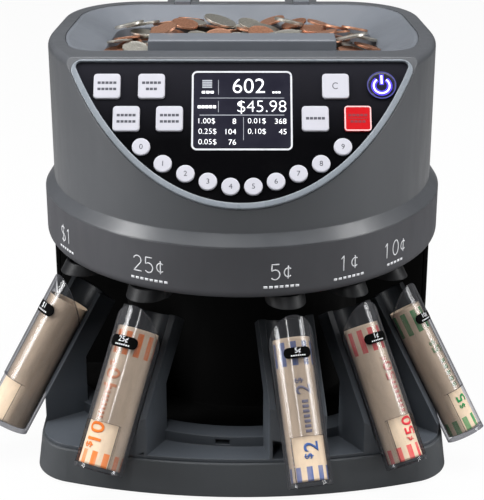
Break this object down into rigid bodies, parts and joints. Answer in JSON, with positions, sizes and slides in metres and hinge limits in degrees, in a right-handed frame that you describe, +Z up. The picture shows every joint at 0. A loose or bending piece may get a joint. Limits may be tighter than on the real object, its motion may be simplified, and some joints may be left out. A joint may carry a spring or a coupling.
{
  "type": "coin sorting machine",
  "caption": "Round coin sorter with an open hopper on top, a sloping key panel, and leaning clear tubes that slide out on a rack below.",
  "frame": {"origin": "centre of the middle rubber foot's underside, on the table, straight below the centre of the drum's round front and of the tube circle", "axes": "+Z up, -Y towards the user who faces the key panel, +X to that user's right"},
  "size_m": [0.3458, 0.3194, 0.282],
  "materials": {
    "housing_grey": "fine satin grain",
    "skirt_grey": "smooth satin",
    "base_grey": "fine satin grain",
    "rack_grey": "satin",
    "bowl_grey": "satin",
    "trim_grey": "semi-gloss",
    "panel_black": "high gloss",
    "screen": "polished, printed behind",
    "white_key": "satin",
    "red_key": "satin",
    "power_key": "gloss with a lit symbol",
    "black_plastic": "fine grain",
    "inner_plastic": "smooth moulded",
    "deck_metal": "brushed",
    "disc_metal": "turned",
    "bush_brass": "sintered",
    "board_green": "solder resist",
    "foot_rubber": "matte",
    "clear_tube": "clear, lightly smoked",
    "kraft_paper": "uncoated"
  },
  "bodies": {
    "housing": {"base_plate": "black_plastic", "base_tray": "base_grey", "case_screws": "deck_metal", "chute_ring": "inner_plastic", "coin_sensors": "black_plastic", "control_panel": "panel_black", "core_shroud": "black_plastic", "data_port": "deck_metal", "display_module": "black_plastic", "display_window": "screen", "drive_bracket": "deck_metal", "drum_housing": "housing_grey", "gearmotor": "deck_metal", "hinge_pins": "deck_metal", "keypad_board": "board_green", "main_board": "board_green", "panel_bezel": "trim_grey", "power_inlet": "black_plastic", "rear_shell": "black_plastic", "rubber_feet": "foot_rubber", "shaft_bushes": "bush_brass", "skirt_ring": "skirt_grey", "sort_deck": "deck_metal", "sort_rail": "inner_plastic"},
    "hopper": {"hopper_bowl": "bowl_grey"},
    "disc": {"sorting_disc": "disc_metal", "disc_knob": "black_plastic", "drive_shaft": "deck_metal", "disc_gear": "inner_plastic"},
    "pinion": {"motor_pinion": "inner_plastic"},
    "rack": {"tube_rack": "rack_grey"},
    "tube_dollar": {"coin_tube_dollar": "clear_tube", "paper_wrapper_dollar": "kraft_paper"},
    "tube_quarter": {"coin_tube_quarter": "clear_tube", "paper_wrapper_quarter": "kraft_paper"},
    "tube_nickel": {"coin_tube_nickel": "clear_tube", "paper_wrapper_nickel": "kraft_paper"},
    "tube_penny": {"coin_tube_penny": "clear_tube", "paper_wrapper_penny": "kraft_paper"},
    "tube_dime": {"coin_tube_dime": "clear_tube", "paper_wrapper_dime": "kraft_paper"},
    "button_0": {"key_0": "white_key"},
    "button_1": {"key_1": "white_key"},
    "button_2": {"key_2": "white_key"},
    "button_3": {"key_3": "white_key"},
    "button_4": {"key_4": "white_key"},
    "button_5": {"key_5": "white_key"},
    "button_6": {"key_6": "white_key"},
    "button_7": {"key_7": "white_key"},
    "button_8": {"key_8": "white_key"},
    "button_9": {"key_9": "white_key"},
    "button_batch_clear": {"key_batch_clear": "white_key"},
    "button_batch_set": {"key_batch_set": "white_key"},
    "button_batch_trays": {"key_batch_trays": "white_key"},
    "button_batch_tubes": {"key_batch_tubes": "white_key"},
    "button_clear": {"key_clear": "white_key"},
    "button_power": {"key_power": "power_key"},
    "button_print": {"key_print": "white_key"},
    "button_start_stop": {"key_start_stop": "red_key"}
  },
  "joints": [
    {"name": "disc_spin", "type": "hinge", "parent": "housing", "child": "disc", "pos_m": [0, -0.01, 0.16], "axis": [0, 0, -1], "continuous": true},
    {"name": "pinion_spin", "type": "hinge", "parent": "housing", "child": "pinion", "pos_m": [0, 0.0485, 0.14], "axis": [0, 0, -1], "continuous": true},
    {"name": "hopper_lift", "type": "hinge", "parent": "housing", "child": "hopper", "pos_m": [0, 0.1102, 0.271], "axis": [-1, 0, 0], "range_deg": [0, 70]},
    {"name": "rack_slide", "type": "slide", "parent": "housing", "child": "rack", "axis": [0, -1, 0], "range_m": [0, 0.15]},
    {"name": "tube_dollar_lift_out", "type": "slide", "parent": "rack", "child": "tube_dollar", "axis": [-0.6992, -0.4454, 0.5592], "range_m": [0, 0.07]},
    {"name": "tube_quarter_lift_out", "type": "slide", "parent": "rack", "child": "tube_quarter", "axis": [-0.3994, -0.7265, 0.5592], "range_m": [0, 0.07]},
    {"name": "tube_nickel_lift_out", "type": "slide", "parent": "rack", "child": "tube_nickel", "axis": [0.1865, -0.8078, 0.5592], "range_m": [0, 0.07]},
    {"name": "tube_penny_lift_out", "type": "slide", "parent": "rack", "child": "tube_penny", "axis": [0.4612, -0.6889, 0.5592], "range_m": [0, 0.07]},
    {"name": "tube_dime_lift_out", "type": "slide", "parent": "rack", "child": "tube_dime", "axis": [0.6497, -0.515, 0.5592], "range_m": [0, 0.07]},
    {"name": "button_0_press", "type": "slide", "parent": "housing", "child": "button_0", "axis": [0, 0.7749, -0.632], "range_m": [0, 0.0012], "stiffness_N_per_m": 400},
    {"name": "button_1_press", "type": "slide", "parent": "housing", "child": "button_1", "axis": [0, 0.7749, -0.632], "range_m": [0, 0.0012], "stiffness_N_per_m": 400},
    {"name": "button_2_press", "type": "slide", "parent": "housing", "child": "button_2", "axis": [0, 0.7749, -0.632], "range_m": [0, 0.0012], "stiffness_N_per_m": 400},
    {"name": "button_3_press", "type": "slide", "parent": "housing", "child": "button_3", "axis": [0, 0.7749, -0.632], "range_m": [0, 0.0012], "stiffness_N_per_m": 400},
    {"name": "button_4_press", "type": "slide", "parent": "housing", "child": "button_4", "axis": [0, 0.7749, -0.632], "range_m": [0, 0.0012], "stiffness_N_per_m": 400},
    {"name": "button_5_press", "type": "slide", "parent": "housing", "child": "button_5", "axis": [0, 0.7749, -0.632], "range_m": [0, 0.0012], "stiffness_N_per_m": 400},
    {"name": "button_6_press", "type": "slide", "parent": "housing", "child": "button_6", "axis": [0, 0.7749, -0.632], "range_m": [0, 0.0012], "stiffness_N_per_m": 400},
    {"name": "button_7_press", "type": "slide", "parent": "housing", "child": "button_7", "axis": [0, 0.7749, -0.632], "range_m": [0, 0.0012], "stiffness_N_per_m": 400},
    {"name": "button_8_press", "type": "slide", "parent": "housing", "child": "button_8", "axis": [0, 0.7749, -0.632], "range_m": [0, 0.0012], "stiffness_N_per_m": 400},
    {"name": "button_9_press", "type": "slide", "parent": "housing", "child": "button_9", "axis": [0, 0.7749, -0.632], "range_m": [0, 0.0012], "stiffness_N_per_m": 400},
    {"name": "button_batch_clear_press", "type": "slide", "parent": "housing", "child": "button_batch_clear", "axis": [0, 0.7749, -0.632], "range_m": [0, 0.0012], "stiffness_N_per_m": 400},
    {"name": "button_batch_set_press", "type": "slide", "parent": "housing", "child": "button_batch_set", "axis": [0, 0.7749, -0.632], "range_m": [0, 0.0012], "stiffness_N_per_m": 400},
    {"name": "button_batch_trays_press", "type": "slide", "parent": "housing", "child": "button_batch_trays", "axis": [0, 0.7749, -0.632], "range_m": [0, 0.0012], "stiffness_N_per_m": 400},
    {"name": "button_batch_tubes_press", "type": "slide", "parent": "housing", "child": "button_batch_tubes", "axis": [0, 0.7749, -0.632], "range_m": [0, 0.0012], "stiffness_N_per_m": 400},
    {"name": "button_clear_press", "type": "slide", "parent": "housing", "child": "button_clear", "axis": [0, 0.7749, -0.632], "range_m": [0, 0.0012], "stiffness_N_per_m": 400},
    {"name": "button_power_press", "type": "slide", "parent": "housing", "child": "button_power", "axis": [0, 0.7749, -0.632], "range_m": [0, 0.0012], "stiffness_N_per_m": 400},
    {"name": "button_print_press", "type": "slide", "parent": "housing", "child": "button_print", "axis": [0, 0.7749, -0.632], "range_m": [0, 0.0012], "stiffness_N_per_m": 400},
    {"name": "button_start_stop_press", "type": "slide", "parent": "housing", "child": "button_start_stop", "axis": [0, 0.7749, -0.632], "range_m": [0, 0.0012], "stiffness_N_per_m": 400}
  ],
  "couplings": [
    {"joint": "pinion_spin", "follows": "disc_spin", "ratio": -3.3333}
  ]
}
